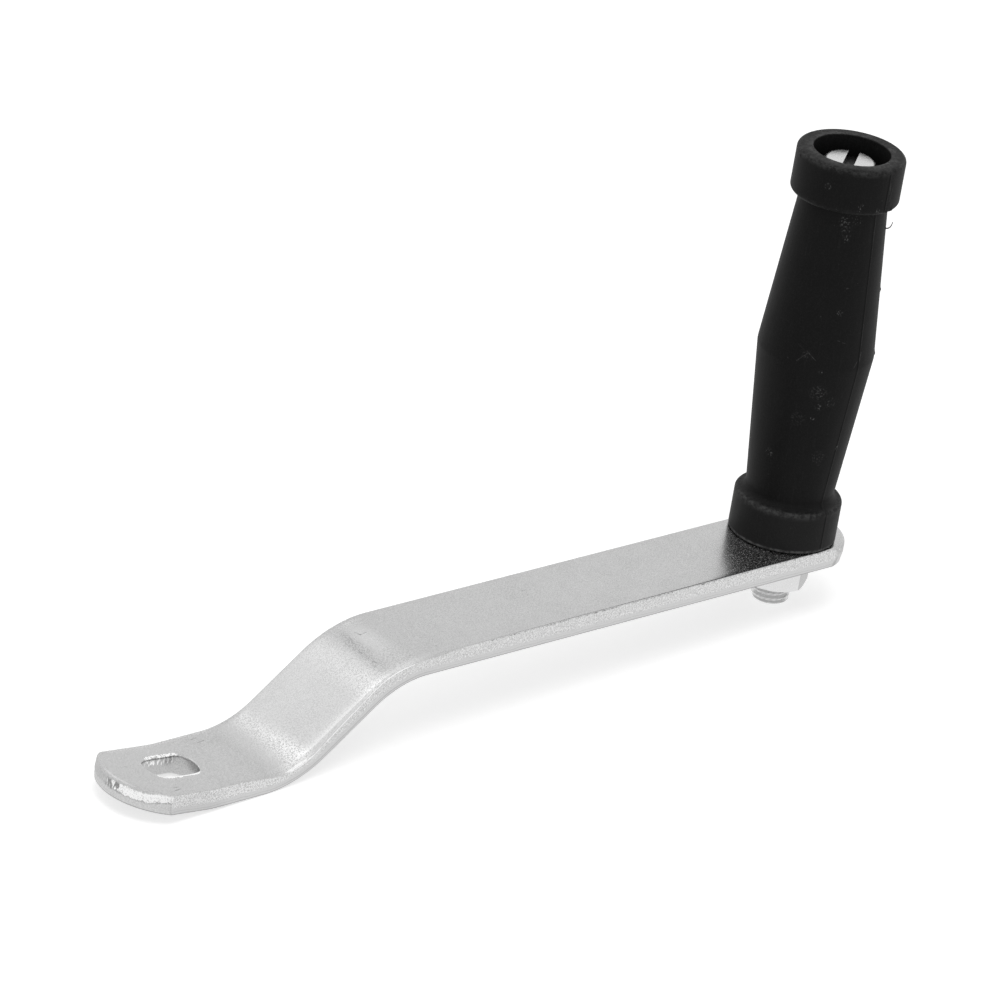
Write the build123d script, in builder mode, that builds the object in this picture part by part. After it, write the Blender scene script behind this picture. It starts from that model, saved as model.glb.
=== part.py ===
from build123d import *
import os
from math import cos, radians, sin, tan

# Crank handle for a hand winch: a cranked flat-steel arm, blanked and bent, with a
# double-D drive hole at the hub end, and a moulded grip that spins on a slotted
# shoulder bolt held by a hexagon nut at the other end.
#
# Frame: the origin is the centre of the drive hole, halfway through the arm.
# +X runs along the arm towards the grip, +Z is parallel to the grip's axis.

# ---------------------------------------------------------------- driving dimensions (mm)
crank_radius = 236.3          # drive hole centre to grip axis, along X
hand_offset = 25.5            # rise of the grip end over the flat of the hub end

bar_width = 30.0
bar_thickness = 6.3
strip_offset = 1.3            # the holes and end arcs were punched this far off the bar's middle
hub_end_radius = 18.5         # arcs of the sheared ends, a little over half the width
grip_end_radius = 17.3
hub_nose = 21.8               # drive hole centre to the tip of the hub end
grip_nose = 20.5              # grip axis to the tip of the grip end
rolled_edge = 0.7             # rounding of the bar's upper long edges
rolled_end = 1.5              # the shearing die rolls the upper edge of the ends over further
sheared_edge = 0.25           # broken corner on the lower edges
fracture_height = 2.6         # sloping lower band of the sheared ends
fracture_depth = 0.4

nose_rise = 6.0               # degrees that the hub end turns up, away from the flat
nose_bend_start = 1.5         # drive hole centre to the start of that bend
nose_bend_radius = 46.0       # bend radii are those of the middle of the bar
hub_flat = 16.3               # flat between the nose bend and the hub bend
hub_bend_radius = 34.0
arm_bend_radius = 36.0
ramp_angle = 36.0             # slope of the bar between its two bends, degrees

drive_hole_diameter = 17.0
drive_hole_flats = 11.5       # across the two flats, which run along the arm
drive_hole_lead = 0.4         # bevel round its upper rim

thread_diameter = 11.8        # M12, over the crests
thread_clearance = 0.1        # radial, in the arm's hole and in the nut
thread_end_chamfer = 1.2
thread_stickout = 6.0         # beyond the nut
nut_across_flats = 19.0
nut_height = 10.0
nut_chamfer_angle = 30.0
nut_corner_angle = 30.0       # direction of one corner, degrees from +X
nut_face_share = 0.95         # chamfer circle over the distance across flats
nut_lead = 0.5                # bevel at both mouths of its hole

shank_diameter = 13.0
bearing_clearance = 0.08      # radial, between the shank and the grip's bore
end_play = 0.4                # the grip's axial play between the arm and the bolt head
head_diameter = 16.0
head_height = 5.0
head_rounding = 1.4
head_recess = 3.0             # bolt head below the rim of the grip
slot_width = 3.4
slot_depth = 2.4
slot_angle = 36.0             # where the slot came to rest, degrees from +X

grip_length = 125.8
collar_diameter = 32.8
lower_collar_height = 13.3
upper_collar_height = 14.2
collar_rounding = 1.5         # rim at the grip's upper end
collar_bevel = 1.0            # the collars' three other edges
neck_diameter = 26.5
belly_diameter = 35.3
belly_height = 61.6           # widest place, over the grip's lower end
belly_rounding = 6.0
counterbore_diameter = 23.2
counterbore_lead = 0.5        # bevel round its mouth

# ---------------------------------------------------------------- derived sizes and places
half_thickness = bar_thickness / 2
bend_drop = (hub_bend_radius + arm_bend_radius) * (1 - cos(radians(ramp_angle)))
ramp_length = (hand_offset - bend_drop) / sin(radians(ramp_angle))

flat_z = -(nose_bend_start * sin(radians(nose_rise)) + nose_bend_radius * (1 - cos(radians(nose_rise))))
arm_z = flat_z + hand_offset                      # middle of the bar at the grip end
arm_top = arm_z + half_thickness
arm_under = arm_z - half_thickness

grip_bottom = arm_top + end_play / 2
grip_top = grip_bottom + grip_length
counterbore_depth = head_recess + head_height + end_play / 2
head_top = grip_top - head_recess
head_seat = head_top - head_height                # underside of the bolt head
nut_bottom = arm_under - nut_height
thread_end = nut_bottom - thread_stickout

nose_plane = Plane(origin=(0, 0, 0), x_dir=(cos(radians(nose_rise)), 0, -sin(radians(nose_rise))),
                   z_dir=(sin(radians(nose_rise)), 0, cos(radians(nose_rise))))
hub_arc_centre = nose_plane.location * Location((hub_end_radius - hub_nose, 0, 0), (0, 0, 180))
grip_axis = Axis((crank_radius, 0, 0), (0, 0, 1))
grip_arc_centre = Location((crank_radius + grip_nose - grip_end_radius, 0, arm_z))


def on_grip_axis(height):
    """Horizontal plane centred on the grip's axis."""
    return Plane(origin=(crank_radius, 0, height))


def corners_at(radius):
    """Corners of the open half section that lie at one distance from the axis."""
    return grip_section.vertices().filter_by_position(Axis.X, radius - 0.01, radius + 0.01)


def shear_waste(end_radius):
    """What the die takes off one end of the bar, with the centre of the end's arc at the origin.

    The kept steel has a rolled upper edge and an upright band, and below the fracture line,
    where it broke away, the end slopes inwards.
    """
    fracture_line = fracture_height - half_thickness
    slope_foot = end_radius - fracture_depth * (fracture_line + bar_thickness) / fracture_height
    roll_start = end_radius - rolled_end
    with BuildPart() as waste:
        Box(2 * bar_width, 2 * bar_width, 2 * bar_thickness, align=(Align.MIN, Align.CENTER, Align.CENTER))
        with BuildSketch(Plane.XZ):
            with BuildLine():
                Polyline((0, bar_thickness), (roll_start, bar_thickness), (roll_start, half_thickness))
                RadiusArc((roll_start, half_thickness), (end_radius, half_thickness - rolled_end), rolled_end)
                Polyline((end_radius, half_thickness - rolled_end), (end_radius, fracture_line),
                         (slope_foot, -bar_thickness), (0, -bar_thickness), (0, bar_thickness))
            make_face()
        revolve(axis=Axis.Z, mode=Mode.SUBTRACT)
    return waste.part


os.makedirs("parts", exist_ok=True)

# ---------------------------------------------------------------- crank arm
with BuildPart() as crank_arm:
    # Side profile: the middle line of the bar from the hub's nose to the grip end.
    with BuildSketch(Plane.XZ.offset(strip_offset)) as side_profile:
        with BuildLine() as middle_line:
            nose_start = (-hub_nose * cos(radians(nose_rise)), hub_nose * sin(radians(nose_rise)))
            nose = PolarLine(nose_start, hub_nose + nose_bend_start, -nose_rise)
            nose_bend = JernArc(nose @ 1, nose % 1, nose_bend_radius, nose_rise)
            flat = PolarLine(nose_bend @ 1, hub_flat, 0)
            hub_bend = JernArc(flat @ 1, flat % 1, hub_bend_radius, ramp_angle)
            ramp = PolarLine(hub_bend @ 1, ramp_length, ramp_angle)
            arm_bend = JernArc(ramp @ 1, ramp % 1, arm_bend_radius, -ramp_angle)
            Line(arm_bend @ 1, (crank_radius + grip_nose, arm_z))
        trace(line_width=bar_thickness)
    extrude(amount=bar_width / 2, both=True)

    upper_faces = crank_arm.faces().filter_by(lambda face: face.normal_at().Z > 0.5)
    fillet(upper_faces.edges().filter_by(Axis.Y, reverse=True), rolled_edge)

    # Both ends are sheared to a shallow arc that meets the sides in sharp corners.
    with Locations(hub_arc_centre):
        add(shear_waste(hub_end_radius), mode=Mode.SUBTRACT)
    with Locations(grip_arc_centre):
        add(shear_waste(grip_end_radius), mode=Mode.SUBTRACT)
    lower_faces = crank_arm.faces().filter_by(lambda face: face.normal_at().Z < -0.5)
    chamfer(lower_faces.edges().filter_by(Axis.Y, reverse=True), sheared_edge)

    # Drive hole: a circle with two flats, punched square to the turned-up nose.
    with BuildSketch(nose_plane) as drive_hole:
        Circle(drive_hole_diameter / 2)
        Rectangle(drive_hole_diameter, drive_hole_flats, mode=Mode.INTERSECT)
    extrude(amount=bar_thickness, both=True, mode=Mode.SUBTRACT)

    punched_rim = crank_arm.faces().filter_by(lambda face: face.normal_at().Z > 0.5).edges()
    hole_reach = drive_hole_diameter / 2 + half_thickness
    chamfer(punched_rim.filter_by(lambda edge: (edge @ 0.5).length < hole_reach), drive_hole_lead)

    # Clearance hole for the grip bolt's thread.
    with BuildSketch(on_grip_axis(arm_z)):
        Circle(thread_diameter / 2 + thread_clearance)
    extrude(amount=bar_thickness, both=True, mode=Mode.SUBTRACT)
crank_arm.part.label = "crank_arm"
export_step(crank_arm.part, "parts/crank_arm.step")

# ---------------------------------------------------------------- grip bolt
with BuildPart() as grip_bolt:
    with BuildSketch(on_grip_axis(thread_end)):
        Circle(thread_diameter / 2)
    extrude(amount=arm_top - thread_end)
    chamfer(grip_bolt.edges().sort_by(Axis.Z)[0], thread_end_chamfer)

    # The shank's shoulder seats on the arm, so the tightened nut leaves the grip free.
    with BuildSketch(on_grip_axis(arm_top)):
        Circle(shank_diameter / 2)
    extrude(amount=head_seat - arm_top)

    with BuildSketch(on_grip_axis(head_seat)):
        Circle(head_diameter / 2)
    extrude(amount=head_height)
    fillet(grip_bolt.edges().sort_by(Axis.Z)[-1], head_rounding)

    with BuildSketch(on_grip_axis(head_top)):
        Rectangle(2 * head_diameter, slot_width, rotation=slot_angle)
    extrude(amount=-slot_depth, mode=Mode.SUBTRACT)
grip_bolt.part.label = "grip_bolt"
export_step(grip_bolt.part, "parts/grip_bolt.step")

# ---------------------------------------------------------------- grip nut
with BuildPart() as grip_nut:
    with BuildSketch(on_grip_axis(nut_bottom)):
        RegularPolygon(nut_across_flats / 2, 6, major_radius=False, rotation=nut_corner_angle)
    extrude(amount=nut_height)

    # Both faces are turned to a cone that takes the corners off.
    with BuildSketch(Plane.XZ.shift_origin((crank_radius, 0, nut_bottom))):
        with BuildLine():
            face_radius = nut_face_share * nut_across_flats / 2
            cone_height = nut_height / 2
            middle_radius = face_radius + cone_height / tan(radians(nut_chamfer_angle))
            Polyline((0, 0), (face_radius, 0), (middle_radius, cone_height),
                     (face_radius, nut_height), (0, nut_height), close=True)
        make_face()
    revolve(axis=grip_axis, mode=Mode.INTERSECT)

    with BuildSketch(on_grip_axis(nut_bottom)):
        Circle(thread_diameter / 2 + thread_clearance)
    extrude(amount=nut_height, mode=Mode.SUBTRACT)
    bore_wall = grip_nut.faces().filter_by(GeomType.CYLINDER)
    chamfer(bore_wall.edges().filter_by(GeomType.CIRCLE), nut_lead)
grip_nut.part.label = "grip_nut"
export_step(grip_nut.part, "parts/grip_nut.step")

# ---------------------------------------------------------------- grip
with BuildPart() as grip:
    # Half section: two collars, and between them a body that swells to the belly.
    with BuildSketch(Plane.XZ.shift_origin((crank_radius, 0, grip_bottom))) as grip_section:
        with BuildLine():
            bore_radius = shank_diameter / 2 + bearing_clearance
            seat_height = grip_length - counterbore_depth
            Polyline((bore_radius, 0),
                     (collar_diameter / 2, 0),
                     (collar_diameter / 2, lower_collar_height),
                     (neck_diameter / 2, lower_collar_height),
                     (belly_diameter / 2, belly_height),
                     (neck_diameter / 2, grip_length - upper_collar_height),
                     (collar_diameter / 2, grip_length - upper_collar_height),
                     (collar_diameter / 2, grip_length),
                     (counterbore_diameter / 2, grip_length),
                     (counterbore_diameter / 2, seat_height),
                     (bore_radius, seat_height),
                     close=True)
        make_face()
        collar_corners = corners_at(collar_diameter / 2).sort_by(Axis.Y)
        fillet(collar_corners[-1], collar_rounding)
        chamfer(collar_corners[:-1], collar_bevel)
        fillet(corners_at(belly_diameter / 2), belly_rounding)
        chamfer(corners_at(counterbore_diameter / 2).sort_by(Axis.Y)[-1], counterbore_lead)
    revolve(axis=grip_axis)
grip.part.label = "grip"
export_step(grip.part, "parts/grip.step")
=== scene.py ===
"""Crank handle of a hand winch, dressed for rendering.

A cranked flat-steel arm carries a moulded grip that spins on a slotted shoulder bolt, held by a
hexagon nut. All lengths are in metres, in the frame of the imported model: the origin is the centre
of the drive hole, +X runs along the arm towards the grip and +Z is parallel to the grip's axis.
"""

import logging
from collections.abc import Callable, Sequence
from dataclasses import dataclass, replace
from enum import Enum
from math import acos, asin, atan2, cos, degrees, hypot, pi, radians, sin, sqrt, tan, tau

import bpy
import bmesh
from mathutils import Matrix, Vector, noise
from mathutils.geometry import delaunay_2d_cdt


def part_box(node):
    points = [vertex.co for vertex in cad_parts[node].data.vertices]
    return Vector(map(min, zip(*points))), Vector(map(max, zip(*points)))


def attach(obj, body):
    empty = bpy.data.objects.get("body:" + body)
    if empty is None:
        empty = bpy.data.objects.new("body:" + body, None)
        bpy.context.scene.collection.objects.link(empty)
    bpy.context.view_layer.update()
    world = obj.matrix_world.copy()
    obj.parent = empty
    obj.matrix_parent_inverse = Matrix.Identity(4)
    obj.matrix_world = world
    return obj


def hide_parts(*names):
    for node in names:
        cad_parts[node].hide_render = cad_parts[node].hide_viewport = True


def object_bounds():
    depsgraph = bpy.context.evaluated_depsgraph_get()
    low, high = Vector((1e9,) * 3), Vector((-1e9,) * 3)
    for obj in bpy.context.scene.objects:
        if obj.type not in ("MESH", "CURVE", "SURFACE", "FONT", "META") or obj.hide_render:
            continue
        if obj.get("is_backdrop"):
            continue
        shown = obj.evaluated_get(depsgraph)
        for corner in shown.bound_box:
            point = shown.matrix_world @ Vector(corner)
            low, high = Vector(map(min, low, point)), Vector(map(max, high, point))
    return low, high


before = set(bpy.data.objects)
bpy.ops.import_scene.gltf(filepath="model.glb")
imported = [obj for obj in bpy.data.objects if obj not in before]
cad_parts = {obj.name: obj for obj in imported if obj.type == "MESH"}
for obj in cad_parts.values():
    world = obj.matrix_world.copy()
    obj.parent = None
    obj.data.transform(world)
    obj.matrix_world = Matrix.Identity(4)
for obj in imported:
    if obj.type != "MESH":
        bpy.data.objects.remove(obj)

Piece = bpy.types.Object
Socket = bpy.types.NodeSocket
# Gives the place of two coordinates on a piece's skin.
Surface = Callable[[float, float], Vector]
# Gives the points of a hole, grown outwards by a length.
Outline = Callable[[float], list[tuple[float, float]]]

log = logging.getLogger("crank_handle")

MM = 0.001

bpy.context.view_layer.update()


# ---------------------------------------------------------------- shape helpers


def spread(first: float, last: float, steps: int) -> list[float]:
    """Returns steps + 1 evenly spaced values from first to last."""
    return [first + (last - first) * i / steps for i in range(steps + 1)]


def hill(value: float, top: float, half_width: float) -> float:
    """Returns 1 at the top, falling smoothly to 0 at half_width on either side."""
    return 0.5 + 0.5 * cos(pi * min(1.0, abs(value - top) / half_width))


def rise(value: float, low: float, high: float) -> float:
    """Returns a straight rise from 0 at low to 1 at high."""
    return max(0.0, min(1.0, (value - low) / (high - low)))


def ragged(place: Vector, scale: float) -> float:
    """Returns a smooth noise from about -1 to 1, with waves of that size in metres."""
    return noise.fractal(place / scale, 1.0, 2.0, 3)


def polar(radius: float, angle: float, height: float) -> Vector:
    """Returns the offset from an axis's foot at that radius, angle and height."""
    return Vector((radius * cos(angle), radius * sin(angle), height))


def standing(low: Vector, high: Vector) -> tuple[Vector, float]:
    """Returns the foot of the axis of a box, on the bar's middle line, and the box's height."""
    return Vector(((low.x + high.x) / 2, 0, low.z)), high.z - low.z


def shown(name: str, data: bpy.types.ID) -> Piece:
    """Makes an object and links it to the scene.

    Args:
        name: Its name.
        data: Its mesh, light or camera.

    Returns:
        The object.
    """
    made = bpy.data.objects.new(name, data)
    bpy.context.scene.collection.objects.link(made)
    return made


class Draft:
    """Collects the vertices, faces and per-vertex values of one piece."""

    def __init__(self) -> None:
        """Starts an empty draft."""
        self.points: list[Vector] = []
        self.faces: list[tuple[int, ...]] = []
        self.marks: dict[str, dict[int, float]] = {}

    def point(self, place: Vector, **marks: float) -> int:
        """Adds one vertex.

        Args:
            place: Where it is.
            marks: Values that the material reads there, by name.

        Returns:
            Its index.
        """
        index = len(self.points)
        self.points.append(place)
        for name, value in marks.items():
            self.marks.setdefault(name, {})[index] = value
        return index

    def skin(self, rings: Sequence[Sequence[int]], around: bool = False) -> None:
        """Covers a run of equally long rings with four-sided faces.

        Args:
            rings: Rings of vertices, each joined to the next.
            around: Whether the last ring is joined to the first as well.
        """
        for ring, after in zip(rings, [*rings[1:], rings[0]] if around else rings[1:]):
            for here in range(len(ring)):
                there = (here + 1) % len(ring)
                self.faces.append((ring[here], ring[there], after[there], after[here]))

    def close(self, ring: Sequence[int], centre: Vector) -> None:
        """Closes a ring with a fan of triangles.

        Args:
            ring: The vertices to close.
            centre: Where the fan's middle is.
        """
        middle = self.point(centre)
        for here in range(len(ring)):
            self.faces.append((ring[here], ring[(here + 1) % len(ring)], middle))

    def piece(self, name: str, sharp: float) -> Piece:
        """Makes the mesh object, with its normals outwards and smooth shading.

        Args:
            name: The object's name.
            sharp: Angle in degrees from which an edge is shaded sharp.

        Returns:
            The new object, linked to the scene.
        """
        mesh = bpy.data.meshes.new(name)
        mesh.from_pydata(self.points, [], self.faces)
        for mark, values in self.marks.items():
            layer = mesh.attributes.new(mark, "FLOAT", "POINT")
            layer.data.foreach_set("value", [values.get(i, 0.0) for i in range(len(self.points))])
        tidy = bmesh.new()
        tidy.from_mesh(mesh)
        bmesh.ops.recalc_face_normals(tidy, faces=tidy.faces)
        tidy.to_mesh(mesh)
        tidy.free()
        mesh.shade_smooth()
        mesh.set_sharp_from_angle(angle=radians(sharp))
        return shown(name, mesh)


# ---------------------------------------------------------------- material helpers


class Nodes:
    """A node tree being laid out, with short calls for the nodes that are used."""

    def __init__(self, tree: bpy.types.NodeTree) -> None:
        """Starts laying nodes in that tree."""
        self.tree = tree

    def node(self, kind: str, settings: dict[str, object] | None = None,
             order: Sequence[object] = (), **inputs: object) -> bpy.types.Node:
        """Adds a node and fills or links its inputs.

        Args:
            kind: The node's type name after "ShaderNode".
            settings: Properties of the node itself.
            order: Values or sockets for its first inputs, in their order.
            inputs: Values or sockets by input name, with underscores for spaces.

        Returns:
            The new node.
        """
        node = self.tree.nodes.new("ShaderNode" + kind)
        for key, value in (settings or {}).items():
            setattr(node, key, value)
        for socket, value in zip(node.inputs, order):
            self.feed(socket, value)
        for key, value in inputs.items():
            self.feed(node.inputs[key.replace("_", " ")], value)
        return node

    def feed(self, socket: Socket, value: object) -> None:
        """Links a socket to another, or sets its plain value.

        Args:
            socket: The input to feed.
            value: An output socket or a value.
        """
        if isinstance(value, Socket):
            self.tree.links.new(value, socket)
        else:
            socket.default_value = value

    def math(self, operation: str, first: object, second: object, clamp: bool = False) -> Socket:
        """Returns the result of one sum or comparison."""
        settings = {"operation": operation, "use_clamp": clamp}
        return self.node("Math", settings, (first, second)).outputs[0]

    def times(self, first: object, *others: object) -> object:
        """Multiplies values.

        Args:
            first: A number or socket.
            others: More of them.

        Returns:
            Their product, or the first alone where there are no others.
        """
        for other in others:
            first = self.math("MULTIPLY", first, other)
        return first

    def ray(self, *kinds: str) -> Socket:
        """Tells some kinds of ray from the rest.

        Args:
            kinds: Names of the light path's outputs.

        Returns:
            1 for rays of those kinds, and otherwise 0.
        """
        path = self.node("LightPath").outputs
        value = path[kinds[0]]
        for kind in kinds[1:]:
            value = self.math("MAXIMUM", value, path[kind])
        return value


class Recipe(Nodes):
    """A surface material being laid out, coat by coat, from a first colour."""

    def __init__(self, name: str) -> None:
        """Starts a material with a Principled shader and object coordinates.

        Args:
            name: The material's name.
        """
        self.material = bpy.data.materials.new(name)
        self.material.use_nodes = True
        super().__init__(self.material.node_tree)
        self.shader = self.tree.nodes["Principled BSDF"]
        self.place = self.node("TexCoord").outputs["Object"]
        self.colour: object = 0.0

    def mark(self, name: str) -> Socket:
        """Returns a per-vertex value of the piece."""
        return self.node("Attribute", {"attribute_name": name}).outputs["Fac"]

    def clouds(self, size: float, detail: float = 3.0, rough: float = 0.5,
               stretch: tuple[float, float, float] = (1, 1, 1)) -> Socket:
        """Noise from 0 to 1.

        Args:
            size: Size of its largest blots in metres.
            detail: How many finer layers it has.
            rough: Strength of each finer layer over the one before.
            stretch: Factors that squeeze the pattern along X, Y and Z.

        Returns:
            The noise.
        """
        stretched = self.node("Mapping", Vector=self.place, Scale=stretch).outputs[0]
        return self.node("TexNoise", Vector=stretched, Scale=1 / size, Detail=detail,
                         Roughness=rough).outputs[0]

    def step(self, value: object, low: float, high: float, to_low: float = 0.0,
             to_high: float = 1.0) -> Socket:
        """Returns a smooth step of value, from to_low at low to to_high at high."""
        return self.node("MapRange", {"interpolation_type": "SMOOTHSTEP"}, Value=value,
                         From_Min=low, From_Max=high, To_Min=to_low, To_Max=to_high).outputs[0]

    def waver(self, value: object, unrest: Socket, reach: float) -> Socket:
        """Returns a value moved up and down by a noise, by half the reach either way."""
        return self.math("ADD", value, self.times(self.math("SUBTRACT", unrest, 0.5), reach))

    def mix(self, first: object, second: object, share: object) -> Socket:
        """Mixes two colours.

        Args:
            first: A grey level or a socket.
            second: The same.
            share: Weight of the second, from 0 to 1.

        Returns:
            The mixed colour.
        """
        node = self.node("Mix", {"data_type": "RGBA"}, Factor=share)
        for socket, value in ((node.inputs[6], first), (node.inputs[7], second)):
            self.feed(socket, (value, value, value, 1.0) if isinstance(value, float) else value)
        return node.outputs[2]

    def coat(self, colour: object, *shares: object) -> None:
        """Lays a colour over the material's colour so far, by the product of the shares."""
        self.colour = self.mix(self.colour, colour, self.times(*shares))

    def offset(self, first: Socket, second: object) -> Socket:
        """Returns one vector less another."""
        return self.node("VectorMath", {"operation": "SUBTRACT"}, (first, second)).outputs[0]

    def length(self, vector: Socket) -> Socket:
        """Returns the length of a vector."""
        return self.node("VectorMath", {"operation": "LENGTH"}, (vector,)).outputs[1]

    def spot(self, centre: Vector, radius: float) -> Socket:
        """Returns 1 at a place on the piece, falling to 0 at that distance from it."""
        distance = self.length(self.offset(self.place, tuple(centre)))
        return self.step(distance, radius, 0.4 * radius)

    def line(self, start: Vector, end: Vector, width: float) -> Socket:
        """A straight scratch between two places.

        Args:
            start: Where it starts.
            end: Where it ends.
            width: How wide it is.

        Returns:
            1 on it, falling to 0 at half its width.
        """
        course = end - start
        offset = self.offset(self.place, tuple(start))
        dot = self.node("VectorMath", {"operation": "DOT_PRODUCT"},
                        (offset, tuple(course / course.length_squared)))
        share = self.math("ADD", dot.outputs[1], 0.0, clamp=True)
        foot = self.node("VectorMath", {"operation": "SCALE"}, (tuple(course),), Scale=share)
        distance = self.length(self.offset(offset, foot.outputs[0]))
        return self.step(distance, width / 2, width / 5)

    def relief(self, *layers: tuple[Socket, float]) -> None:
        """Lays bumps on the shader's normal.

        Args:
            layers: Height from 0 to 1, and how tall that is in metres.
        """
        normal = None
        for height, tall in layers:
            bump = self.node("Bump", Height=height, Strength=1.0, Distance=tall)
            if normal is not None:
                self.feed(bump.inputs["Normal"], normal)
            normal = bump.outputs[0]
        self.feed(self.shader.inputs["Normal"], normal)

    def finished(self, **inputs: object) -> bpy.types.Material:
        """Gives the shader its colour and other inputs.

        Args:
            inputs: Values or sockets by input name, with underscores for spaces.

        Returns:
            The material.
        """
        self.feed(self.shader.inputs["Base Color"], self.colour)
        for key, value in inputs.items():
            self.feed(self.shader.inputs[key.replace("_", " ")], value)
        return self.material


# ---------------------------------------------------------------- finishes


@dataclass(frozen=True)
class Noises:
    """The noises that the arm's marks share, each from 0 to 1.

    The first is fine and the second broad, "tooth" has millimetre teeth, and "streak" is drawn out
    from one face of the bar to the other.
    """

    fine: Socket
    blots: Socket
    tooth: Socket
    streak: Socket


@dataclass(frozen=True)
class Stroke:
    """A short dark stroke on the arm, from one place on it to another."""

    start: tuple[float, float]
    end: tuple[float, float]
    strength: float = 0.5
    width: float = 0.7 * MM


@dataclass(frozen=True)
class ArmSteel:
    """Bright plated flat steel with sheared ends, a punched hole and grain where it was bent.

    Its few short strokes run from one place on the upper face to another, along and across the bar.

    The mesh tells it where: "wall" on the sides, "depth" below the upper face in millimetres,
    "cut" on sheared ends, "polish" where the die rubbed them, "grain" and "die_line" in the bends,
    "pale", a painted sheen, in and near the bends, "glint", painted highlights, and "nick" on the
    long edges, "rim", a painted shade line, along the lower edge and some corners, and "burr", a
    burr with a painted highlight along its near rim, round the drive hole.
    """

    grey: float = 0.50
    side_grey: float = 0.66
    mottled: float = 0.68
    pale: float = 0.72
    speckled: float = 0.90
    bright: float = 0.97
    dark: float = 0.22
    torn: float = 0.66
    roughness: float = 0.22
    grain: float = 0.42 * MM
    blots: float = 11 * MM
    teeth: float = 1.1 * MM
    streaks: float = 0.8 * MM
    strokes: tuple[Stroke, ...] = (
        Stroke((16.5 * MM, 10.2 * MM), (19 * MM, 10.7 * MM)),
        Stroke((16.6 * MM, 8 * MM), (19.4 * MM, 8.3 * MM)),
        Stroke((-11 * MM, -13.9 * MM), (-7 * MM, -13 * MM), 0.6),
        Stroke((-8.7 * MM, -12 * MM), (-7 * MM, -11.8 * MM)),
        Stroke((-14.3 * MM, 3.3 * MM), (-13.8 * MM, 2.9 * MM)),
        Stroke((78.2 * MM, 6.6 * MM), (78.6 * MM, 4.6 * MM), 0.7),
        Stroke((78.6 * MM, 4.6 * MM), (80.4 * MM, 4.4 * MM)),
        Stroke((92 * MM, -12 * MM), (92.6 * MM, -12.2 * MM)),
        Stroke((140 * MM, 4 * MM), (143 * MM, 3.4 * MM), 0.25),
    )

    def material(self, surface: Surface) -> bpy.types.Material:
        """Makes the arm's material.

        Args:
            surface: Gives the place on the upper face at a distance along and across the bar.

        Returns:
            The material.
        """
        steel = Recipe("arm_steel")
        noises = Noises(steel.clouds(self.grain, 4.0, 0.65), steel.clouds(self.blots, 4.0, 0.6),
                        steel.clouds(self.teeth, 4.0, 0.7),
                        steel.clouds(self.streaks, 3.0, 0.6, (1, 1, 0.3)))
        for marking in (self.plain, self.side, self.bent, self.sheared):
            marking(steel, noises)
        broken = steel.step(noises.tooth, 0.60, 0.44, 0.2)
        for stroke in self.strokes:
            drawn = steel.line(surface(*stroke.start), surface(*stroke.end), stroke.width)
            steel.coat(self.dark, drawn, broken, stroke.strength)
        # Painted shade: a dark line along the lower corners, the far upper corner and the ends'
        # near corner.
        steel.coat(self.dark, steel.mark("rim"), 0.6)

        coarse = steel.times(steel.math("MAXIMUM", steel.mark("wall"), steel.mark("cut")), 0.2)
        roughness = steel.math("ADD", self.roughness, coarse)
        roughness = steel.math("ADD", roughness, steel.times(noises.fine, 0.06))
        dusty = steel.step(noises.fine, 0.55, 0.61, 1.0, 0.6)
        steel.relief((noises.blots, 0.03 * MM), (noises.fine, 0.014 * MM))
        return steel.finished(Metallic=dusty, Roughness=roughness)

    def plain(self, steel: Recipe, noises: Noises) -> None:
        """Gives the rolled surface: grey, softly mottled, with a few small pits and a painted
        sheen.

        Args:
            steel: The material being laid out.
            noises: Its noises.
        """
        steel.colour = steel.mix(self.grey - 0.09, self.grey + 0.03, noises.blots)
        steel.coat(self.mottled, steel.step(noises.fine, 0.42, 0.58, 0.0, 0.55))
        # Painted sheen where the mesh marks "pale".
        steel.coat(self.pale, steel.mark("pale"))
        pits = steel.step(steel.clouds(2.2 * MM, 2.0), 0.765, 0.80)
        steel.coat(self.dark, pits, 0.5)

    def side(self, steel: Recipe, noises: Noises) -> None:
        """Speckles the upper two thirds of the sides, and draws fine lines along the rest.

        Args:
            steel: The material being laid out.
            noises: Its noises.
        """
        wall, depth = steel.mark("wall"), steel.mark("depth")
        upper = steel.times(wall, steel.step(depth, 4.4, 3.4, 0.15))
        lower = steel.times(wall, steel.step(depth, 3.6, 4.4))
        steel.coat(self.side_grey, wall)
        steel.coat(self.speckled, steel.step(noises.fine, 0.50, 0.60), upper)
        steel.coat(self.dark, steel.step(noises.fine, 0.46, 0.36), upper, 0.4)
        level = steel.math("ADD", depth, steel.clouds(6 * MM, 2.0))
        lines = steel.node("TexNoise", {"noise_dimensions": "1D"}, W=level, Scale=2.4, Detail=2.0,
                           Roughness=0.6)
        steel.coat(self.grey - 0.15, steel.step(lines.outputs[0], 0.52, 0.62), lower, 0.3)

    def bent(self, steel: Recipe, noises: Noises) -> None:
        """Adds what the bending tools and the punch left, and painted highlights.

        These are pale grains with darker gaps, a dark line, nicks and a burr, with painted
        highlights:
        glints along the long edges and a line along the drive hole's near rim.

        Args:
            steel: The material being laid out.
            noises: Its noises.
        """
        grain = steel.mark("grain")
        steel.coat(self.bright, steel.step(noises.fine, 0.44, 0.56), grain)
        steel.coat(self.dark, steel.step(noises.fine, 0.44, 0.36), grain, 0.25)
        steel.coat(self.dark, steel.step(noises.fine, 0.58, 0.44), steel.mark("die_line"))
        # Painted highlights: the "glint" dashes along the upper corners, and the "burr" line along
        # the drive hole's near rim.
        for mark, teeth, shade in (("painted_glint", noises.tooth, self.bright),
                                   ("nick", noises.tooth, self.dark),
                                   ("burr", noises.streak, self.bright)):
            steel.coat(shade, steel.step(steel.waver(steel.mark(mark), teeth, 1.0), 0.48, 0.56))

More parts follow.
